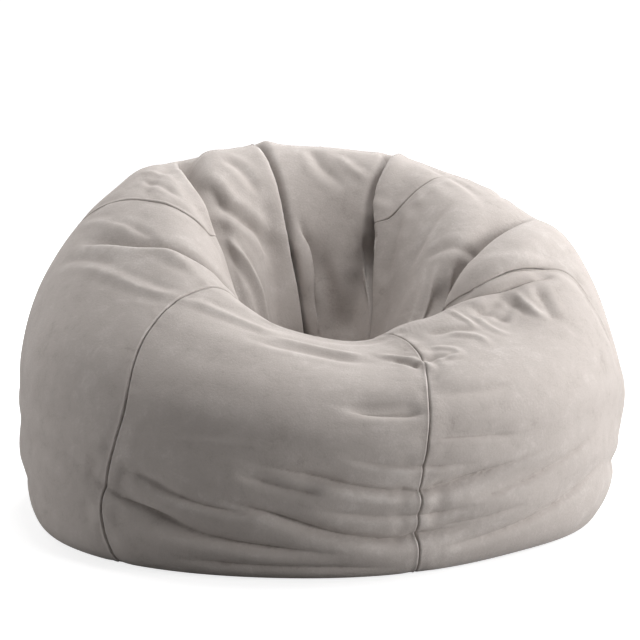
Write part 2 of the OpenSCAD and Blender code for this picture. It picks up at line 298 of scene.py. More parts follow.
def relax(rest, spare_across, spare_along, loose, seed, steps):
    """Cloth with spare length on a soft bed of beads, which buckles into wrinkles.

    Each step pulls the cloth towards the bed, smooths its bending, and sets the lengths of its threads.
    """
    bed, bed_slide = 0.0010, 0.02  # share of the way back to the bed in a step, out of it and along it
    bending, stretch, wave = 0.006, 0.8, 0.045  # shares put right in a step, shortest wave in metres
    count = rest.shape[1]
    step_across = size(np.roll(rest, -1, 1) - rest)
    step_along = size(rest[1:] - rest[:-1])
    want_across = step_across * (1 + spare_across)
    want_along = step_along * (1 + (spare_along[1:] + spare_along[:-1]) / 2)
    wide = (step_across[1:] + step_across[:-1]) / 2
    more_across, more_along = (s[1:] + s[:-1] for s in (spare_across, spare_along))
    grow = (wide ** 2 * more_across + step_along ** 2 * more_along) / 2 / (wide ** 2 + step_along ** 2)
    down = size(np.roll(rest, -1, 1)[1:] - rest[:-1]) * (1 + grow)
    up = size(rest[1:] - np.roll(rest, -1, 1)[:-1]) * (1 + grow)
    n = normals(rest)
    ring = step_across.sum(1) / (2 * np.pi)
    mode = np.fft.rfftfreq(count) * count
    stiff = (1 / (1 + 0.003 * (mode[None] * wave / (2 * np.pi * ring[:, None])) ** 4))[:, :, None]
    loose = loose[..., None]
    x = rest + n * 0.002 * seed[..., None] * loose

    def pull(a, b, length, share):
        v = b - a
        now = size(v)
        return (stretch * share * (now - length) / now)[..., None] * v

    for _ in range(steps):
        d = np.fft.irfft(np.fft.rfft(x - rest, axis=1) * stiff, n=count, axis=1)
        p = np.pad(d, ((2, 2), (0, 0), (0, 0)), mode="edge")
        d = d - bending * (p[:-4] - 4 * p[1:-3] + 6 * p[2:-2] - 4 * p[3:-1] + p[4:])
        out = (d * n).sum(-1, keepdims=True) * n
        x = rest + ((d - out) * (1 - bed_slide) + out * (1 - bed)) * loose
        for k in (0, 1):
            c = pull(x[:, k::2], np.roll(x, -1, 1)[:, k::2], want_across[:, k::2], 0.5)
            x[:, k::2] += c
            x[:, (np.arange(k, count, 2) + 1) % count] -= c
        for length, share, here, there in ((want_along, 0.5, 0, 0), (down, 0.25, 0, 1), (up, 0.25, 1, 0)):
            for k in (0, 1):
                a, b = np.roll(x[k:-1:2], -here, 1), np.roll(x[k + 1::2], -there, 1)
                c = pull(a, b, length[k::2], share)
                x[k:-1:2] += np.roll(c, here, 1)
                x[k + 1::2] -= np.roll(c, there, 1)
    return x


def loose_wrinkles():
    """How far the relaxed cloth moves from the smooth shape, on the coarse grid."""
    cloth = np.arange(COLUMNS) / COLUMNS * 360 + FIRST_SEAM
    cloth, t = np.meshgrid(cloth, even_rows(ROWS))
    azimuth = wander(cloth, t)
    rest = smooth_shape(azimuth, t)
    az, shape = azimuth % 360, t.shape
    patch = soft_noise(shape, (6, 14), 7)
    streak = soft_noise(shape, (12, 26), 8)
    low = ease((t - 0.12) / 0.3) * (1 - ease((t - 0.85) / 0.4))
    rim = ease((t - 1.45) / 0.3) * (1 - ease((t - 2.1) / 0.3))
    seat = ease((t - 1.95) / 0.3) * (1 - ease((t - 2.85) / 0.15))
    spare_along = (0.004 + low * (0.008 + 0.040 * bump(az, 288, 42)) * np.clip(1 + 0.6 * patch, 0.1, 2.5)
                   + rim * 0.010 * np.clip(1 + 0.7 * streak, 0, 2.5) + seat * 0.010)
    spare_across = (0.002 + rim * 0.012 * np.clip(1 + 0.6 * patch, 0, 2)
                    + seat * 0.030 * np.clip(1 + 0.5 * streak, 0.1, 2) + low * 0.004)
    place = (cloth - FIRST_SEAM) % 60
    seam = np.exp(-(np.minimum(place, 60 - place) / 0.9) ** 2)
    spare_along = spare_along * (1 - 0.9 * seam)
    loose = ease(t / 0.12) * (1 - 0.5 * seam) * (1 - ease((t - 2.9) / 0.1))
    seed = soft_noise(shape, (36, 26), 10) * low + soft_noise(shape, (22, 34), 9) * (1 - low)
    return relax(rest, spare_across, spare_along, loose, seed, SOLVER_STEPS) - rest


# ---- single wrinkles ----
# kind: r a ridge, v a valley, d a dent, o a valley that the cloth above hangs over, f the same as a deep
# fold, s a slack fold that sinks in slowly from above and comes out sharply below;
# height and width in millimetres; path as azimuth, t, azimuth, t and so on
WRINKLES = (
    # the front's slack lower half
    ("s", 23, 25, (250, 0.98, 262, 0.91, 270, 0.87, 278, 0.82, 285, 0.79, 292, 0.79, 300, 0.82, 310, 0.87,
        322, 0.94)),
    ("s", 8, 14, (273, 0.97, 281, 0.92, 290, 0.90, 302, 0.89)),
    ("s", 29, 31, (242, 0.83, 254, 0.76, 261, 0.71, 268, 0.65, 276, 0.60, 284, 0.57, 291, 0.58, 300, 0.60,
        310, 0.64)),
    ("s", 27, 31, (222, 0.81, 234, 0.71, 244, 0.62, 254, 0.57, 266, 0.53, 280, 0.50)),
    ("s", 18, 25, (230, 0.87, 242, 0.78, 250, 0.73, 260, 0.69)),
    ("s", 12, 20, (254, 0.88, 264, 0.82, 272, 0.79)),
    ("s", 11, 18, (267, 0.74, 276, 0.70, 285, 0.68, 294, 0.68, 306, 0.71)),
    ("s", 11, 20, (240, 0.46, 254, 0.42, 270, 0.40, 288, 0.40)),
    ("s", 9, 19, (274, 1.30, 284, 1.25, 291, 1.23)),
    ("s", 6, 16, (289, 1.05, 299, 1.03, 310, 0.99)),
    ("s", 12, 19, (289, 0.50, 300, 0.51, 309, 0.55, 318, 0.60, 330, 0.68, 342, 0.77)),
    ("s", 9, 18, (295, 0.71, 308, 0.75, 322, 0.82, 336, 0.92)),
    ("s", 6, 15, (291, 0.62, 302, 0.63, 314, 0.67)),
    ("v", 3, 16, (196, 0.80, 212, 0.86, 226, 0.83)),
    # the rest of the wall, out of the front's sight
    ("v", 5, 17, (338, 0.72, 354, 0.66, 12, 0.70)),
    ("o", 6, 17, (24, 0.62, 40, 0.58, 58, 0.66)),
    ("v", 4, 15, (44, 0.84, 60, 0.80, 74, 0.84)),
    ("o", 7, 18, (70, 0.56, 88, 0.62, 108, 0.58, 124, 0.64)),
    ("v", 4, 14, (96, 0.86, 110, 0.80, 126, 0.86)),
    ("o", 6, 17, (132, 0.66, 148, 0.60, 166, 0.66)),
    ("v", 4, 15, (176, 0.56, 190, 0.60, 206, 0.56)),
    # the back of the seat
    ("r", 10, 9, (149, 2.28, 146, 2.36, 143, 2.43, 141, 2.49, 143, 2.56, 147, 2.66)),
    ("v", 12, 15, (147, 2.09, 142, 2.16, 141, 2.23, 133, 2.295, 125, 2.345, 121.5, 2.40, 125, 2.46)),
    ("d", 13, 16, (117, 2.24, 117.5, 2.36, 118, 2.44, 121, 2.51, 125, 2.59, 130, 2.70)),
    ("d", 15, 24, (141, 2.18, 146, 2.26, 151, 2.34, 157, 2.42, 164, 2.50, 170, 2.60)),
    ("f", 14, 11, (86, 2.72, 91, 2.61, 95, 2.54, 95, 2.475, 96.5, 2.42, 99.5, 2.37, 101, 2.31)),
    ("d", 10, 17, (91, 2.34, 88, 2.44, 84, 2.50, 79, 2.58, 76, 2.68)),
    ("d", 26, 32, (64, 2.26, 61, 2.39, 62, 2.49, 67, 2.60, 76, 2.76)),
    ("v", 6, 14, (93, 2.02, 91, 2.09, 87, 2.16, 75, 2.24)),
    ("r", 4, 10, (85, 2.06, 77, 2.14, 68, 2.18)),
    ("v", 5, 13, (128, 2.06, 122, 2.16, 118, 2.26)),
    # the seat's right wall
    ("f", 36, 34, (26, 1.63, 15.5, 1.745, 3, 1.89, -7, 1.985, -14, 2.028, -23, 2.044, -31, 2.035,
        -42, 2.08, -54, 2.20)),
    ("d", 14, 26, (16, 1.86, 7, 1.95, -3, 2.04, -10, 2.09, -18, 2.11, -28, 2.11, -40, 2.14)),
    ("v", 6, 14, (-10, 2.12, -16, 2.165, -23, 2.19, -30, 2.19, -42, 2.12)),
    ("v", 5, 12, (-5, 1.97, 1, 2.08, 5, 2.18, 8, 2.26)),
    ("v", 5, 13, (48, 2.22, 42, 2.35, 36, 2.45)),
    ("v", 4, 13, (30, 2.06, 22, 2.22, 16, 2.36)),
    # the seam's fold over the right arm and the roll below it
    ("o", 9, 13, (324, 2.03, 332, 1.992, 339.8, 1.942, 345.2, 1.885, 349, 1.81, 353.2, 1.70, 356, 1.62)),
    ("o", 13, 14, (354, 1.63, 349, 1.69, 344.8, 1.762, 340, 1.842, 336.5, 1.909, 332, 1.966, 324, 2.0,
        314, 2.02)),
    ("r", 4, 8, (341, 1.81, 339, 1.762, 337.5, 1.71, 336.5, 1.66, 337.5, 1.60)),
    ("v", 4, 10, (336, 1.86, 337, 1.80, 336, 1.74, 333, 1.69)),
    ("v", 4.5, 13, (345, 1.74, 342, 1.68, 339, 1.62, 336, 1.55)),
    # puckers over the rim at the front right
    ("r", 3, 6, (323, 1.98, 321.5, 1.90, 321, 1.85, 319, 1.78)),
    ("r", 3, 8, (325, 1.90, 324, 1.81, 322.5, 1.72, 324, 1.63)),
    ("v", 3, 9, (328, 1.94, 329, 1.86, 330, 1.78, 328, 1.71)),
    ("r", 3, 8, (311, 1.84, 313.5, 1.77, 315.5, 1.70, 314, 1.60)),
    ("v", 3, 9, (306, 1.88, 311, 1.85, 316, 1.81, 320, 1.73)),
    ("r", 2.5, 7, (301, 1.78, 304.5, 1.72, 306, 1.66, 304.5, 1.56)),
    ("v", 2.5, 9, (299, 1.70, 301, 1.64, 301, 1.58)),
    # pulled cloth round the pinch in the front's right seam
    ("r", 6, 8, (286, 1.82, 291, 1.74, 295, 1.665, 296, 1.58, 295, 1.52)),
    ("v", 5, 7, (289, 1.74, 293, 1.67, 294.5, 1.61)),
    ("r", 3, 6, (298, 1.63, 302, 1.615, 306, 1.615)),
    # the rim at the front and left
    ("r", 4, 12, (224, 1.83, 235, 1.88, 247, 1.90, 262, 1.89)),
    ("v", 5, 13, (248, 1.76, 268, 1.78, 286, 1.71)),
    ("r", 3, 9, (252, 1.86, 270, 1.84, 287, 1.77)),
    ("r", 4, 12, (193, 1.60, 205, 1.70, 218, 1.77, 227, 1.86)),
    ("v", 6, 14, (183, 1.52, 194, 1.68, 203, 1.78)),
    ("r", 5, 12, (187, 1.72, 192, 1.83, 200, 1.93, 209, 2.00, 216, 2.06)),
    ("r", 3, 12, (171, 1.60, 181, 1.80, 189, 1.94)),
    ("v", 3, 10, (178, 1.76, 186, 1.90, 195, 1.99)),
    ("r", 3, 10, (152, 1.84, 152, 2.00, 160, 2.12)),
    ("v", 3, 9, (156, 1.88, 160, 2.02, 165, 2.12)),
    ("v", 3, 12, (291, 1.37, 303, 1.33, 312, 1.33)),
    # the rim at the back
    ("v", 5, 12, (58, 1.66, 62, 1.80, 60, 1.95)),
    ("r", 4, 10, (84, 1.60, 88, 1.76, 90, 1.92)),
    ("v", 5, 12, (116, 1.58, 120, 1.74, 118, 1.90)),
    ("v", 4, 12, (146, 1.56, 143, 1.72, 139, 1.86)),
    ("v", 4, 12, (36, 1.58, 34, 1.72, 30, 1.86)),
)


# dents beside the pinch in the front's right seam: azimuth, t, radius, depth
PINCHES = ((294.6, 1.645, 0.013, 0.007), (298.5, 1.655, 0.010, 0.007))


def crisp(u, sharp):
    """A bump with a crest that is narrow where sharp is small."""
    return np.exp(-1.25 * (np.sqrt(u * u + sharp * sharp) - sharp))


def bell(u, middle, width):
    return np.exp(-((u - middle) / width) ** 2)


# each kind's height and overhang at a distance d from its path, in widths
WRINKLE_FORMS = {
    "r": lambda d: (crisp(d, 0.35) - 0.3 * bell(np.abs(d), 1.6, 0.8), 0 * d),
    "v": lambda d: (-crisp(d, 0.3) + 0.35 * bell(np.abs(d), 1.6, 0.9), 0 * d),
    "d": lambda d: (-np.exp(-d * d), 0 * d),
    "f": lambda d: (-np.exp(-np.abs((d + 0.30) / np.where(d < -0.30, 1.25, 0.75)) ** 1.7)
                    + 0.42 * bell(d, 1.0, 0.9), -0.85 * bell(d, 0.45, 0.55)),
    "s": lambda d: (-np.exp(-np.abs(np.where(d > 0, d, d / 0.36)) ** 1.35) + 0.12 * bell(d, 2.2, 0.9),
                    -0.25 * bell(d, 0.45, 0.45)),
    "o": lambda d: (-0.8 * crisp(d, 0.2) + 0.55 * bell(d, 1.15, 0.8) + 0.15 * bell(d, -1.6, 0.9),
                    -0.7 * bell(d, 0.55, 0.6)),
}


def wrinkled(smooth, x):
    """The single wrinkles laid into x; smooth is the same grid without folds."""
    n = normals(x)
    shift = np.zeros(x.shape)
    step = 0.05
    for kind, height, width, path in WRINKLES:
        a, s = np.array(path[::2], float), np.array(path[1::2], float)
        a = np.degrees(np.unwrap(np.radians(a)))
        run = np.linspace(0, 1, len(a))
        fine = np.linspace(0, 1, 90)
        aa, tt = curve(fine, list(zip(run, a))), curve(fine, list(zip(run, s)))
        line = smooth_shape(aa, tt)
        ahead = unit(np.gradient(line, axis=0))
        out = unit(np.cross(smooth_shape(aa + step, tt) - line, smooth_shape(aa, tt + step) - line))
        up = unit(np.cross(out, ahead))
        width, height = width / 1000, height / 1000
        near = np.where(((smooth > line.min(0) - 4 * width) & (smooth < line.max(0) + 4 * width)).all(-1))
        p = smooth[near]
        k = np.concatenate([((q[:, None] - line[None]) ** 2).sum(-1).argmin(1)
                            for q in np.array_split(p, 1 + len(p) // 4000)])
        v = p - line[k]
        d = np.sign((v * up[k]).sum(-1)) * size(v) / width
        fade = ease(fine[k] / 0.3) * ease((1 - fine[k]) / 0.3)
        if tt.mean() > 2:
            fade = fade * np.clip(np.hypot(*(p[:, :2].T)) / NARROW, 0.4, 1)
        h, over = WRINKLE_FORMS[kind](d)
        shift[near] += (fade * height)[:, None] * (n[near] * h[:, None] + up[k] * over[:, None])
    for a, s, radius, depth in PINCHES:
        near = size(smooth - smooth_shape(a, s)) / radius
        shift -= n * (depth * np.exp(-near ** 2))[..., None]
    return x + shift


# ---- the finished skin ----

FINE_COLUMNS, FINE_ROWS = 864, 400
GORE_COLUMNS = 112
# distances of a gore's outer columns from its edge
EDGE_STEPS = (0.0003, 0.0009, 0.0015, 0.0023, 0.0033, 0.0047, 0.0070, 0.0110)


def fine_cloth():
    """The skin without folds, how far each place is tucked into a fold, and the finished skin."""
    x = resampled(loose_wrinkles(), np.linspace(0, ROWS - 1, FINE_ROWS))
    wrap = np.swapaxes(np.concatenate([x[:, -2:], x, x[:, :3]], 1), 0, 1)
    x = np.swapaxes(resampled(wrap, 2 + np.arange(FINE_COLUMNS) * COLUMNS / FINE_COLUMNS), 0, 1)
    t = np.interp(np.linspace(0, ROWS - 1, FINE_ROWS), np.arange(ROWS), even_rows(ROWS))
    cloth, t = np.meshgrid(np.arange(FINE_COLUMNS) / FINE_COLUMNS * 360 + FIRST_SEAM, t)
    azimuth = wander(cloth, t)
    smooth = smooth_shape(azimuth, t)
    folded, tucked = creased(azimuth, t, smooth)
    x = folded + x + normals(smooth) * swollen(azimuth, t)[..., None]
    x = wrinkled(smooth, x)
    x[..., 2] = np.maximum(x[..., 2], 0.0006)
    return smooth, tucked, x


smooth_grid, tucked_grid, skin = fine_cloth()
skin_normals = normals(skin)


def pucker(index, count, seed):
    """Uneven gathers along a seam, about -1 to 1."""
    rng = np.random.default_rng(100 * seed + index)
    s = np.arange(count)
    made = sum(a * np.interp(s, np.linspace(0, count - 1, n), rng.standard_normal(n))
               for a, n in ((0.7, count // 12), (0.5, count // 5)))
    return np.clip(made, -1.5, 1.5)


def gore_grid(index):
    """The points of a gore's outer face, with its edges turned in along the seams."""
    per = FINE_COLUMNS // 6
    rows = np.arange(FINE_ROWS)[:, None]
    columns = (index * per + np.arange(per + 1)) % FINE_COLUMNS
    length = np.cumsum(size(np.diff(skin[:, columns], axis=1)), axis=1)
    length = np.concatenate([np.zeros((FINE_ROWS, 1)), length], 1)
    wide = length[:, -1:]
    edge = np.array(EDGE_STEPS)[None] * np.clip(wide / 0.12, 0.55, 1)
    inner = np.linspace(0, 1, GORE_COLUMNS - 2 * len(EDGE_STEPS) + 2)[None, 1:-1]
    at = np.concatenate([edge, edge[:, -1:] + (wide - 2 * edge[:, -1:]) * inner, wide - edge[:, ::-1]], 1)
    place = np.stack([np.interp(at[r], length[r], np.arange(per + 1)) for r in range(FINE_ROWS)])
    k = place.astype(int).clip(0, per - 1)
    f = (place - k)[..., None]
    x = catmull([skin[rows, (index * per + k + o) % FINE_COLUMNS] for o in (-1, 0, 1, 2)], f)
    n = unit(skin_normals[rows, (index * per + k) % FINE_COLUMNS] * (1 - f)
             + skin_normals[rows, (index * per + k + 1) % FINE_COLUMNS] * f)
    for from_edge, seam, raised in ((at, index, 0.2), (wide - at, (index + 1) % 6, 1.0)):
        flat = 1 - 0.9 * tucked_grid[:, seam * per][:, None]
        gather = pucker(seam, FINE_ROWS, 1)[:, None]
        dip = 0.0032 * (1 + 0.25 * gather) * np.exp(-(from_edge / 0.0017) ** 1.4)
        ridge = 0.0012 * raised * bell(from_edge, 0.0030, 0.0020)
        own = pucker(seam, FINE_ROWS, 2 + (raised > 0.5))[:, None]
        ripple = 0.0008 * own * bell(from_edge, 0.009, 0.010)
        x = x + n * (flat * (ridge + ripple - dip))[..., None]
    run = size(np.diff(x, axis=0, append=x[-1:]))
    end = np.cumsum(run[::-1], 0)[::-1]
    start = np.cumsum(run, 0) - run
    x = x - n * (0.0045 * np.exp(-(end / 0.005) ** 1.3))[..., None]  # sunk at the seat's round panel
    x[..., 2] += 0.0030 * np.exp(-(start / 0.006) ** 1.3)  # and turned up at the base's seam
    x[..., 2] = np.maximum(x[..., 2], 0.0003)
    return x


# ---- mesh helpers ----

def add_object(name, data):
    o = bpy.data.objects.new(name, data)
    bpy.context.scene.collection.objects.link(o)
    return o


def new_object(name, vertices, faces):
    """A smooth-shaded mesh; faces is an array of quads, or a list of faces of any kind."""
    mesh = bpy.data.meshes.new(name)
    if isinstance(faces, list):
        mesh.from_pydata([tuple(map(float, v)) for v in vertices], [], faces)
    else:
        fill_mesh(mesh, np.asarray(vertices, np.float32), faces)
    mesh.polygons.foreach_set("use_smooth", [True] * len(mesh.polygons))
    mesh.update()
    return add_object(name, mesh)


def fill_mesh(mesh, vertices, quads):
    mesh.vertices.add(len(vertices))
    mesh.vertices.foreach_set("co", vertices.reshape(-1))
    mesh.loops.add(quads.size)
    mesh.loops.foreach_set("vertex_index", quads.reshape(-1).astype(np.int32))
    mesh.polygons.add(len(quads))
    mesh.polygons.foreach_set("loop_start", np.arange(0, quads.size, 4, dtype=np.int32))
    mesh.update(calc_edges=True)


def quads_of(index):
    return np.stack([index[:-1, :-1], index[:-1, 1:], index[1:, 1:], index[1:, :-1]], -1).reshape(-1, 4)


def lists(faces):
    return [list(map(int, face)) for face in faces]


def rod_faces(rings, count):
    """Faces of a closed rod: rings of points along it, and a cap at each end."""
    index = np.arange(rings * count).reshape(rings, count)
    return lists(quads_of(np.concatenate([index, index[:, :1]], 1))) + lists([index[0, ::-1], index[-1]])


def shell(name, outer, inner):
    """A closed panel between two grids of points."""
    rows, columns = outer.shape[:2]
    index = np.arange(rows * columns).reshape(rows, columns)
    low = index + rows * columns
    rim = [(index[0, ::-1], low[0, ::-1]), (index[-1], low[-1]), (index[:, 0], low[:, 0]),
           (index[::-1, -1], low[::-1, -1])]
    faces = [quads_of(index), quads_of(low)[:, ::-1]]
    faces += [np.stack([a[:-1], a[1:], b[1:], b[:-1]], -1) for a, b in rim]
    points = np.concatenate([outer.reshape(-1, 3), inner.reshape(-1, 3)])
    return new_object(name, points, np.concatenate(faces))


def fix_normals(o, change=None):
    """Turn a mesh's faces outwards, after a change to it."""
    b = bmesh.new()
    b.from_mesh(o.data)
    if change:
        change(b)
    bmesh.ops.recalc_face_normals(b, faces=b.faces)
    b.to_mesh(o.data)
    b.free()


def weld(b):
    """Join points that lie together, and drop faces that lie on each other."""
    bmesh.ops.remove_doubles(b, verts=b.verts, dist=1e-6)
    bmesh.ops.dissolve_degenerate(b, edges=b.edges, dist=1e-7)
    doubles = {}
    for f in list(b.faces):
        key = tuple(sorted(v.index for v in f.verts))
        if key in doubles:
            b.faces.remove(f)
            b.faces.remove(doubles.pop(key))
        else:
            doubles[key] = f


def grid_normals(x):
    return unit(np.cross(np.gradient(x, axis=1), np.gradient(x, axis=0)))


# ---- the cover ----

gores = []
for number, side_name in enumerate(SIDES):
    outer = gore_grid(number)
    inner = outer - grid_normals(outer) * CLOTH
    inner[..., 2] = np.maximum(inner[..., 2], outer[..., 2].clip(0.0016, 0.004))
    gores.append(shell("cover_gore_" + side_name, outer, inner))


def disc(name, middle, radius, crown, cloth, seed, rings=26, parts=96, edge=0.004, pleats=0.0008):
    """A round panel with a crowned middle and a gathered edge."""
    a = np.arange(parts + 1) / parts * 2 * np.pi
    s = np.linspace(0, 1, rings) ** 0.8
    a, s = np.meshgrid(a, s)
    rng = np.random.default_rng(seed)
    wave = sum(rng.uniform(0.4, 1) * np.cos(k * a + rng.uniform(0, 6.28)) for k in (7, 11, 16))
    z = crown * (1 - s ** 2) - edge * np.exp(-((1 - s) / 0.08) ** 1.3) + pleats * wave * s ** 4
    top = np.stack([m + v for m, v in zip(middle, (radius * s * np.cos(a), radius * s * np.sin(a), z))], -1)
    o = shell(name, top, top - np.array([0, 0, cloth]))
    fix_normals(o, weld)
    return o


top_cap = disc("cover_top_cap", (0, -SHIFT, FLOOR + 0.0005), CAP - 0.0004, 0.003, CLOTH, 5)

WINDOW, WINDOW_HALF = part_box("zip_placket_back")[1].x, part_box("zip_end_tabs")[1].y


def box_reach(c, s, half_x, half_y):
    """The distance from the middle of a window to its edge, in the direction (c, s)."""
    return np.minimum(half_x / np.maximum(np.abs(c), 1e-9), half_y / np.maximum(np.abs(s), 1e-9))


def base_half(name, side):
    """Half of the base, from the zip's window out to the gores; side is 1 at the back."""
    parts, rings = 160, 44
    a = np.linspace(0, np.pi, parts + 1)
    a = a + 0.12 * np.sin(2 * a)
    edge_azimuth = np.degrees(a) if side > 0 else 180 + np.degrees(a)
    rim = smooth_shape(edge_azimuth, 0 * a)[:, :2]
    rim = rim * (1 - 0.0006 / np.linalg.norm(rim, axis=1, keepdims=True))
    c, s = np.cos(np.radians(edge_azimuth)), np.sin(np.radians(edge_azimuth))
    reach = box_reach(c, s, WINDOW, WINDOW_HALF)
    start = np.stack([reach * c, reach * s], -1)
    u = np.linspace(0, 1, rings)[:, None, None]
    u = u - 0.06 * np.sin(2 * np.pi * u)
    flat = start[None] * (1 - u) + rim[None] * u
    flat[..., 1] += side * 0.0004 * (np.abs(s) < 1e-6)[None]
    wave = (np.sin(23 * flat[..., 0] + 4 * np.sin(17 * flat[..., 1])) * np.sin(31 * flat[..., 1] + 2)
            + 0.5 * np.sin(61 * flat[..., 0] - 47 * flat[..., 1]))
    inside = ease(u[..., 0] * 6) * ease((1 - u[..., 0]) * 10)
    z = 0.0003 + 0.0007 * (1 + 0.6 * wave) * inside
    low = np.concatenate([flat, z[..., None]], -1)
    return shell(name, low + np.array([0, 0, 0.0017]), low)


base_front, base_back = base_half("cover_base_front", -1), base_half("cover_base_back", 1)


def strip(name, profile, start, end, steps, sway=0.0, side=1):
    """A ribbon of cloth: its section (y, z) run along X, with a slight sway."""
    x = np.linspace(start, end, steps)
    section = np.array(profile)
    wave = sway * (np.sin(41 * x + side) + 0.6 * np.sin(97 * x + 2 * side))
    points = np.zeros((steps, len(section), 3))
    points[..., 0] = x[:, None]
    points[..., 1] = section[None, :, 0] * side
    points[..., 2] = section[None, :, 1] + wave[:, None] * np.linspace(0, 1, len(section))[None] ** 2
    o = new_object(name, points.reshape(-1, 3), rod_faces(steps, len(section)))
    fix_normals(o)
    return o


def rounded(path, thickness):
    """A section: a smoothed path of (y, z) with a thickness, as a closed loop."""
    p = np.array(path, float)
    for _ in range(2):  # cut the corners twice
        q = [p[0]]
        for a, b in zip(p[:-1], p[1:]):
            q += [0.75 * a + 0.25 * b, 0.25 * a + 0.75 * b]
        p = np.array(q + [p[-1]])
    d = unit(np.gradient(p, axis=0))
    n = np.stack([-d[:, 1], d[:, 0]], -1) * thickness / 2
    return np.concatenate([p + n, (p - n)[::-1]])


placket_low, placket_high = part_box("zip_placket_back")
placket_cloth = 0.0015
foot_z, head_z = placket_low.z + placket_cloth / 2, placket_high.z - placket_cloth / 2
placket_path = [(placket_low.y, head_z), (placket_low.y + 0.007, head_z), (placket_low.y + 0.014, head_z),
                (WINDOW_HALF, foot_z), (WINDOW_HALF + 0.006, foot_z), (placket_high.y, foot_z)]
placket_section = rounded(placket_path, placket_cloth)
plackets = [strip("zip_placket_cloth_" + name, placket_section, -WINDOW, WINDOW, 160, 0.00012, side)
            for name, side in (("front", -1), ("back", 1))]


def lay(name, form, places):
    """One mesh of many copies of a small closed form; each place is a function that moves the form there."""
    points, faces = form
    every = [move(points) for move in places]
    loops = [[v + k * len(points) for v in f] for k in range(len(places)) for f in faces]
    o = new_object(name, np.concatenate(every), loops)
    fix_normals(o)
    return o


def tube(path, radius, sides):
    """Points and faces of a thin closed tube along a path."""
    p = np.array(path, float)
    d = unit(np.gradient(p, axis=0))
    ref = np.array([1.0, 0.0, 0.0]) if abs(d[0][0]) < 0.9 else np.array([0.0, 1.0, 0.0])
    u = unit(ref - d * (d * ref).sum(-1, keepdims=True))
    v = np.cross(d, u)
    a = (np.arange(sides) / sides * 2 * np.pi)[None, :, None]
    points = p[:, None] + radius * (np.cos(a) * u[:, None] + np.sin(a) * v[:, None])
    return points.reshape(-1, 3), rod_faces(len(p), sides)


PITCH, WIRE = 0.002, 0.00034  # from tooth to tooth, and the wire's radius
coil_path = [(0, 0.0031, -0.00062), (0, 0.0020, -0.00072), (0, 0.0012, -0.00066), (0.0001, 0.00098, -0.00035),
             (0.00015, 0.00094, 0.0), (0.0001, 0.00098, 0.00035), (0, 0.0012, 0.00066), (0, 0.0020, 0.00072),
             (0, 0.0031, 0.00062)]


def coil(name, node, side, along_y=False):
    """One row of a zip's coil: a loop of wire for each tooth."""
    low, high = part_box(node)
    start, end = (low.y, high.y) if along_y else (low.x, high.x)
    z = (low.z + high.z) / 2
    spots = np.arange(start + PITCH / 2, end - PITCH / 2, PITCH) + (PITCH / 2 if side > 0 else 0)
    spots = spots[spots < end - 0.0006]

    def mover(s):
        def move(p):
            q = p * np.array([1, side, 1]) + np.array([s, 0, z])
            return np.stack([-q[:, 1], q[:, 0], q[:, 2]], -1) if along_y else q
        return move
    return lay(name, tube(coil_path, WIRE, 6), [mover(s) for s in spots])


coils = [coil("zip_coil_front", "zip_teeth_front", -1), coil("zip_coil_back", "zip_teeth_back", 1),
         coil("liner_zip_coil_left", "liner_zip_teeth_left", 1, True),
         coil("liner_zip_coil_right", "liner_zip_teeth_right", -1, True)]


def stitches(name, lines, length=0.0032, gap=0.0014, radius=0.00035):
    """Rows of thread stitches; each line is a list of points on the cloth."""
    places = []
    path = [(-0.5, -0.35), (-0.42, 0.15), (-0.2, 0.5), (0.2, 0.5), (0.42, 0.15), (0.5, -0.35)]
    form = tube([(x * length, 0, z * radius * 2) for x, z in path], radius, 5)
    for line in lines:
        p = np.array(line, float)
        run = run_along(p)
        spots = np.arange(length, run[-1] - length, length + gap)
        for s in spots:
            here = np.array([np.interp(s, run, p[:, k]) for k in range(3)])
            ahead = unit(np.array([np.interp(s + 1e-3, run, p[:, k]) for k in range(3)]) - here)

            def move(q, here=here, ahead=ahead):
                across = unit(np.cross([0, 0, -1.0], ahead))
                return here + q[:, :1] * ahead + q[:, 1:2] * across + q[:, 2:] * np.array([0, 0, -1.0])
            places.append(move)
    return lay(name, form, places)


tab_low, tab_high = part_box("zip_end_tabs")


def soft_box(name, boxes, bevel):
    """Rounded slabs of cloth in one mesh."""
    b = bmesh.new()
    for low, high in boxes:
        made = bmesh.ops.create_cube(b, size=1)
        for v in made["verts"]:
            v.co = Vector(((low[k] + high[k]) / 2 + v.co[k] * (high[k] - low[k]) for k in range(3)))
    bmesh.ops.subdivide_edges(b, edges=b.edges, cuts=3, use_grid_fill=True)
    mesh = bpy.data.meshes.new(name)
    b.to_mesh(mesh)
    b.free()
    o = add_object(name, mesh)
    m = o.modifiers.new("round", "BEVEL")
    m.width, m.segments = bevel, 3
    m.limit_method = "ANGLE"
    apply_modifiers(o)
    o.data.polygons.foreach_set("use_smooth", [True] * len(o.data.polygons))
    return o


def apply_modifiers(o):
    bpy.context.view_layer.update()
    done = bpy.data.meshes.new_from_object(o.evaluated_get(bpy.context.evaluated_depsgraph_get()))
    o.modifiers.clear()
    o.data = done


tabs = soft_box("zip_end_patches", [((a, tab_low.y, tab_low.z), (b, tab_high.y, tab_high.z))
                                    for a, b in ((WINDOW, tab_high.x), (tab_low.x, -WINDOW))], 0.0005)

# ---- the liner and the beads, which follow the cover's deepest folds ----

LINER_GAP, LINER_CLOTH, BEADS_GAP = 0.0065, 0.0010, 0.0125  # below the cover's deepest places nearby
STEP = 4  # the inner grid takes every fourth row and column
inner_rows = np.arange(0, FINE_ROWS, STEP)
inner_rows[-1] = FINE_ROWS - 1
inner_places = np.ix_(inner_rows, np.arange(0, FINE_COLUMNS, STEP))
smooth_inner, skin_inner = smooth_grid[inner_places], skin[inner_places]
inner_normals = normals(smooth_inner)
room = ((skin_inner - smooth_inner) * inner_normals).sum(-1)


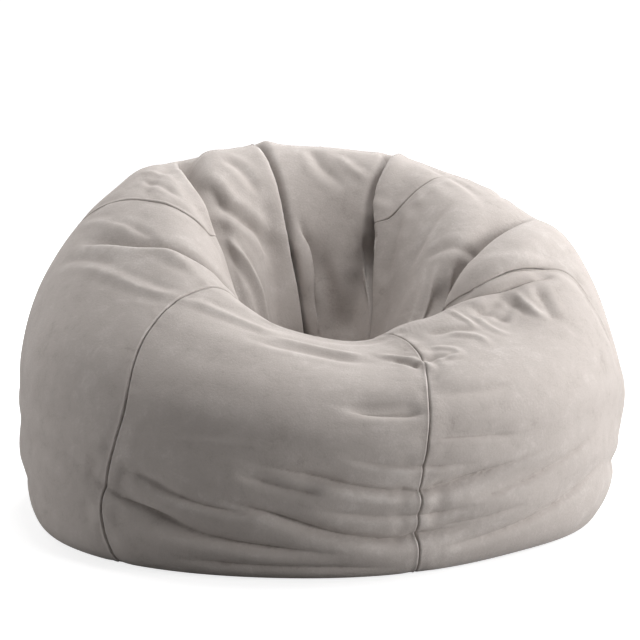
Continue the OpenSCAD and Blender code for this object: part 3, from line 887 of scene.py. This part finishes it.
def lowest_near(v, rows, columns):
    p = np.pad(v, ((rows, rows), (0, 0)), mode="edge")
    v = np.min([p[k:k + len(v)] for k in range(2 * rows + 1)], axis=0)
    return np.min([np.roll(v, k, 1) for k in range(-columns, columns + 1)], axis=0)


def blurred(v, times):
    for _ in range(times):
        p = np.pad(v, ((1, 1), (0, 0)), mode="edge")
        v = (p[:-2] + 2 * v + p[2:]) / 4
        v = (np.roll(v, 1, 1) + 2 * v + np.roll(v, -1, 1)) / 4
    return v


sink = blurred(np.minimum(lowest_near(room, 3, 3), 0), 4)


def inside(gap, lowest):
    """The skin's smooth shape, sunk clear of the folds by a gap."""
    x = smooth_inner + inner_normals * (sink - gap)[..., None]
    x[..., 2] = np.maximum(x[..., 2], lowest)
    return x


liner_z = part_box("liner_base_left")[0].z
liner_skin = inside(LINER_GAP, liner_z)
liner_inner = inside(LINER_GAP + LINER_CLOTH, liner_z + LINER_CLOTH)
per_gore = liner_skin.shape[1] // 6
liner_gores = []
for number, side_name in enumerate(SIDES):
    columns = (number * per_gore + np.arange(per_gore + 1)) % liner_skin.shape[1]
    panels = []
    for grid in (liner_skin, liner_inner):
        g = grid[:, columns].copy()
        for edge, next_to in ((0, 1), (-1, -2)):
            g[:, edge] += unit(g[:, next_to] - g[:, edge]) * 0.0003
        panels.append(g)
    liner_gores.append(shell("liner_cloth_gore_" + side_name, *panels))
liner_top_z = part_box("liner_cap")[1].z
liner_cap = disc("liner_cloth_cap", (0, -SHIFT, liner_top_z - 0.0012), CAP - 0.003, crown=0.0015,
                 cloth=LINER_CLOTH, seed=6, rings=16, parts=64, edge=0.0008, pleats=0.0003)


def liner_base(name, side):
    """Half of the liner's base, with the zip's slot; side is 1 at the right."""
    slot, end = 0.006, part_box("liner_zip_teeth_left")[1].y + 0.010
    parts, rings = 96, 30
    w = np.linspace(-1, 1, parts + 1)
    a = np.pi / 4 * (3 * w - w ** 3) + (0 if side > 0 else np.pi)  # closer together at the slot's ends
    c, s = np.cos(a), np.sin(a)
    reach = box_reach(c, s, slot, end)
    u = np.linspace(0, 1, rings)[:, None]
    r = reach[None] * (1 - u) + (BASE - 0.003) * u
    low = np.stack([r * c[None] + side * 0.0003, r * s[None], 0 * r + liner_z + 0.0001], -1)
    return shell(name, low + np.array([0, 0, 0.0009]), low)


liner_bases = [liner_base("liner_cloth_base_left", -1), liner_base("liner_cloth_base_right", 1)]


def bead_body():
    """The beads as one closed body with an uneven surface."""
    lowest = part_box("bean_fill")[0].z
    x = inside(BEADS_GAP, lowest)
    uneven = soft_noise(x.shape[:2], (50, 108), 21) * 0.0010
    x = x - inner_normals * np.maximum(uneven, 0)[..., None]
    x[..., 2] = np.maximum(x[..., 2], lowest)
    count = x.shape[1]
    index = np.arange(x.shape[0] * count).reshape(-1, count)
    faces = lists(quads_of(np.concatenate([index, index[:, :1]], 1)))
    points = list(map(tuple, x.reshape(-1, 3)))
    for row, flip in ((0, True), (-1, False)):
        middle = len(points)
        points.append(tuple(x[row].mean(0)))
        for k in range(count):
            a, b = int(index[row, k]), int(index[row, (k + 1) % count])
            faces.append([b, a, middle] if flip else [a, b, middle])
    return new_object("bead_fill", points, faces)


beads = bead_body()


# ---- materials ----

class Nodes:
    """A short way to write a material's nodes."""

    def __init__(self, name):
        self.material = bpy.data.materials.new(name)
        self.material.use_nodes = True
        self.tree = self.material.node_tree
        self.shader = self.tree.nodes["Principled BSDF"]

    def set(self, **values):
        for key, value in values.items():
            self.shader.inputs[key.replace("_", " ")].default_value = value

    def link(self, a, b):
        self.tree.links.new(a, b)

    def add(self, kind, **values):
        n = self.tree.nodes.new(kind)
        for key, value in values.items():
            setattr(n, key, value)
        return n

    def place(self):
        return self.add("ShaderNodeTexCoord").outputs["Object"]

    def noise(self, scale, detail=3.0, rough=0.5, distortion=0.0, at=None):
        n = self.add("ShaderNodeTexNoise")
        values = {"Scale": scale, "Detail": detail, "Roughness": rough, "Distortion": distortion}
        for key, value in values.items():
            n.inputs[key].default_value = value
        self.link(at or self.place(), n.inputs["Vector"])
        return n.outputs["Fac"]

    def maths(self, how, a, b=None, c=None):
        n = self.add("ShaderNodeMath", operation=how)
        for socket, value in zip(n.inputs, (a, b, c)):
            if value is None:
                continue
            if isinstance(value, (int, float)):
                socket.default_value = value
            else:
                self.link(value, socket)
        return n.outputs[0]

    def scaled(self, value, by, plus):
        return self.maths("MULTIPLY_ADD", value, by, plus)

    def mottled(self, tone, parts):
        """A tone with each (value, share) added, less its mean."""
        for value, share in parts:
            tone = self.maths("ADD", tone, self.scaled(value, share, -share / 2))
        return tone

    def ramp(self, value, stops):
        n = self.add("ShaderNodeValToRGB")
        n.color_ramp.interpolation = "EASE"
        while len(n.color_ramp.elements) < len(stops):
            n.color_ramp.elements.new(0.5)
        for e, (place, colour) in zip(n.color_ramp.elements, stops):
            e.position, e.color = place, (*colour, 1)
        self.link(value, n.inputs[0])
        return n.outputs[0]

    def bump(self, height, distance, strength=1.0, before=None):
        n = self.add("ShaderNodeBump")
        n.inputs["Distance"].default_value = distance
        n.inputs["Strength"].default_value = strength
        self.link(height, n.inputs["Height"])
        if before:
            self.link(before, n.inputs["Normal"])
        return n.outputs[0]

    def to(self, key, value):
        self.link(value, self.shader.inputs[key])


def suede(name, dark, middle, light, sheen=0.18):
    """A short pile with soft mottling, lighter on its ridges as pile wear, and darker in its creases as
    painted shade.
    """
    m = Nodes(name)
    broad, blotch = m.noise(5.5, 3, 0.5), m.noise(34, 5, 0.62, 0.4)
    grain, fibre = m.noise(260, 4, 0.6), m.noise(1300, 2, 0.6)
    # pointiness: ridges lighter as pile wear, creases darker as painted shade
    ridge_wear_and_crease_shade = m.add("ShaderNodeNewGeometry").outputs["Pointiness"]
    shares = (blotch, 0.75), (grain, 0.34), (fibre, 0.34), (ridge_wear_and_crease_shade, 3.2)
    tone = m.mottled(m.scaled(broad, 0.50, -0.25), shares)
    tone = m.maths("ADD", tone, 0.5)
    m.to("Base Color", m.ramp(tone, ((0.15, dark), (0.5, middle), (0.85, light))))
    m.to("Roughness", m.scaled(blotch, 0.16, 0.78))
    m.to("Normal", m.bump(fibre, 0.0005, 0.5, m.bump(grain, 0.0011, 0.45, m.bump(blotch, 0.0022, 0.35))))
    m.set(Sheen_Weight=sheen, Sheen_Roughness=0.45, Sheen_Tint=(1, 0.96, 0.94, 1), Specular_IOR_Level=0.22)
    return m.material


def woven(name, dark, light, pitch, rough=0.85, sheen=0.1, depth=0.0003):
    """A plain weave: two sets of threads that pass over and under."""
    m = Nodes(name)
    split = m.add("ShaderNodeSeparateXYZ")
    m.link(m.place(), split.inputs[0])
    x, y, z = split.outputs
    u = m.maths("MULTIPLY", m.maths("ADD", x, m.maths("MULTIPLY", z, 0.7)), 2 * np.pi / pitch)
    v = m.maths("MULTIPLY", m.maths("SUBTRACT", y, m.maths("MULTIPLY", z, 0.7)), 2 * np.pi / pitch)
    cross = m.maths("MULTIPLY", m.maths("SINE", u), m.maths("SINE", v))
    hair = m.noise(900, 3, 0.6)
    blotch = m.noise(30, 4, 0.6)
    tone = m.mottled(m.scaled(cross, 0.22, 0.5), ((hair, 0.4), (blotch, 0.5)))
    m.to("Base Color", m.ramp(tone, ((0.1, dark), (0.9, light))))
    m.to("Roughness", m.scaled(hair, 0.15, rough - 0.07))
    m.to("Normal", m.bump(hair, 0.0002, 0.5, m.bump(cross, depth, 0.6)))
    m.set(Sheen_Weight=sheen, Sheen_Roughness=0.5, Specular_IOR_Level=0.25)
    return m.material


def nylon(name, dark, light):
    m = Nodes(name)
    tone = m.noise(700, 3, 0.55)
    m.to("Base Color", m.ramp(tone, ((0.3, dark), (0.7, light))))
    m.to("Roughness", m.scaled(m.noise(1500, 2), 0.15, 0.33))
    m.to("Normal", m.bump(tone, 0.0001, 0.4))
    m.set(Specular_IOR_Level=0.45)
    return m.material


def metal(name, dark, light):
    """Plated die-cast metal with fine scratches and dulled patches."""
    m = Nodes(name)
    scale = m.add("ShaderNodeMapping")
    scale.inputs["Scale"].default_value = (1, 14, 6)
    m.link(m.place(), scale.inputs["Vector"])
    scratch = m.noise(700, 4, 0.7, 0.0, scale.outputs[0])
    patch = m.noise(240, 4, 0.6)
    m.to("Base Color", m.ramp(patch, ((0.3, dark), (0.7, light))))
    rough = m.scaled(scratch, 0.25, 0.12)
    m.to("Roughness", m.maths("ADD", rough, m.maths("MULTIPLY", patch, 0.16)))
    m.to("Normal", m.bump(scratch, 0.00008, 0.4))
    m.set(Metallic=1.0)
    return m.material


def bead_mass(name):
    m = Nodes(name)
    cells = m.add("ShaderNodeTexVoronoi", feature="F1")
    cells.inputs["Scale"].default_value = 230
    m.link(m.place(), cells.inputs["Vector"])
    far = cells.outputs["Distance"]
    # painted shade: each bead is lighter at its middle and darker towards the gaps between beads
    m.to("Base Color", m.ramp(far, ((0.25, (0.90, 0.90, 0.88)), (0.75, (0.62, 0.62, 0.60)))))
    m.to("Roughness", m.scaled(m.noise(600), 0.2, 0.5))
    m.to("Normal", m.bump(m.maths("MULTIPLY", far, -1), 0.0030, 0.9))
    return m.material


cover = suede("cover_suede", (0.345, 0.305, 0.280), (0.445, 0.402, 0.376), (0.545, 0.503, 0.476))
liner = woven("liner_nonwoven", (0.62, 0.60, 0.56), (0.82, 0.80, 0.76), 0.0016)
tape_cloth = woven("zip_tape_weave", (0.22, 0.20, 0.185), (0.36, 0.335, 0.315), 0.0011, depth=0.0002)
coil_nylon = nylon("zip_coil_nylon", (0.24, 0.22, 0.205), (0.36, 0.335, 0.315))
plated = metal("zip_plated_metal", (0.42, 0.42, 0.43), (0.66, 0.66, 0.67))
bead = bead_mass("bead_mass")
thread = nylon("thread_polyester", (0.40, 0.365, 0.34), (0.55, 0.51, 0.48))

# one row of stitches on each placket, beside the zip
stitch_y, stitch_z = placket_low.y + 0.0022, placket_high.z - placket_cloth - 0.0001
stitch_ends = -WINDOW + 0.01, WINDOW - 0.01
stitch_lines = [[(x, side * stitch_y, stitch_z) for x in stitch_ends] for side in (-1, 1)]
thread_rows = stitches("zip_placket_stitches", stitch_lines)


def finish_piece(o, material, node=None):
    o.data.materials.append(material)
    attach(o, "bag")
    if node:
        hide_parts(node)


for side_name, o, lined in zip(SIDES, gores, liner_gores):
    finish_piece(o, cover, "gore_" + side_name)
    finish_piece(lined, liner, "liner_gore_" + side_name)
finish_piece(top_cap, cover, "top_cap")
finish_piece(base_front, cover, "base_panel_front")
finish_piece(base_back, cover, "base_panel_back")
for side_name, o in zip(("front", "back"), plackets):
    finish_piece(o, cover, "zip_placket_" + side_name)
finish_piece(tabs, cover, "zip_end_tabs")
finish_piece(thread_rows, thread)
coil_nodes = "zip_teeth_front", "zip_teeth_back", "liner_zip_teeth_left", "liner_zip_teeth_right"
for o, node in zip(coils, coil_nodes):
    finish_piece(o, coil_nylon, node)
finish_piece(liner_cap, liner, "liner_cap")
for side_name, o in zip(("left", "right"), liner_bases):
    finish_piece(o, liner, "liner_base_" + side_name)
finish_piece(beads, bead, "bean_fill")

# the CAD solids that stay in sight get these materials
for material, nodes in (
    (tape_cloth, ("zip_tape_front", "zip_tape_back", "liner_zip_tape_left", "liner_zip_tape_right")),
    (plated, ("zip_stops", "zip_slider", "zip_pull", "liner_zip_slider")),
):
    for node in nodes:
        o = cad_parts[node]
        if not o.material_slots:
            o.data.materials.append(material)
        for slot in o.material_slots:
            slot.material = material

# ---- floor, lights and camera ----


def stage_floor():
    """A pale floor that glows for the camera only, a little more further out."""
    reach, count, low = 40, 9, 0.0002
    x = np.linspace(-reach, reach, count)
    g = np.stack(np.meshgrid(x, x), -1)
    points = np.concatenate([g, np.full(g.shape[:2] + (1,), -low)], -1).reshape(-1, 3)
    o = new_object("floor", points, quads_of(np.arange(count ** 2).reshape(count, count)))
    m = Nodes("floor_white")
    m.set(Base_Color=(0.45, 0.45, 0.45, 1), Roughness=0.9, Specular_IOR_Level=0.1)
    m.set(Emission_Color=(1, 1, 1, 1))
    path = m.add("ShaderNodeLightPath").outputs["Is Camera Ray"]
    far = m.add("ShaderNodeVectorMath", operation="LENGTH")
    m.link(m.place(), far.inputs[0])
    glow = m.scaled(m.maths("SMOOTH_MIN", far.outputs["Value"], 2.5, 0.5), 0.16, 0.70)
    m.to("Emission Strength", m.maths("MULTIPLY", path, glow))
    o.data.materials.append(m.material)


stage_floor()


def aim(o, place, target):
    o.location = place
    o.rotation_euler = (Vector(target) - Vector(place)).to_track_quat("-Z", "Y").to_euler()


LAMP_TARGET = (0, 0, 0.3)
# name, place, width, watts
for name, place, width, watts in (
    ("right", (2.8, 0.3, 1.0), 1.4, 50),
    ("right_front", (2.4, -1.8, 1.3), 1.6, 31),
    ("right_front_low", (2.6, -1.6, 0.7), 1.2, 20),
    ("right_high", (1.9, 0.9, 2.2), 1.2, 22),
    ("left", (-2.8, 0.3, 1.3), 1.6, 6),
    ("left_low", (-2.9, -0.3, 0.8), 1.2, 25),
    ("left_back", (-2.0, 1.8, 1.8), 1.6, 12),
    ("top", (0, 0.2, 3.0), 1.4, 46),
    ("back", (0.6, 2.6, 2.0), 1.4, 52),
):
    light = bpy.data.lights.new(name, "AREA")
    light.shape, light.size, light.energy = "DISK", width, watts
    aim(add_object(name, light), place, LAMP_TARGET)
world = bpy.data.worlds.new("studio")
world.use_nodes = True
world.node_tree.nodes["Background"].inputs[0].default_value = (1, 1, 1, 1)
world.node_tree.nodes["Background"].inputs[1].default_value = 0.020
bpy.context.scene.world = world
bpy.context.scene.view_settings.view_transform = "Standard"

distance, elevation, middle = 4.5, float(np.radians(11.5)), Vector((0, 0, 0.28))
lens = bpy.data.cameras.new("camera")
lens.sensor_width, lens.lens = 36, 145.4203125  # millimetres
lens.shift_x, lens.shift_y = 0.0028125, 0.04375  # shares of the picture's width
camera = add_object("camera", lens)
aim(camera, middle + distance * Vector((0, -np.cos(elevation), np.sin(elevation))), middle)
bpy.context.scene.camera = camera
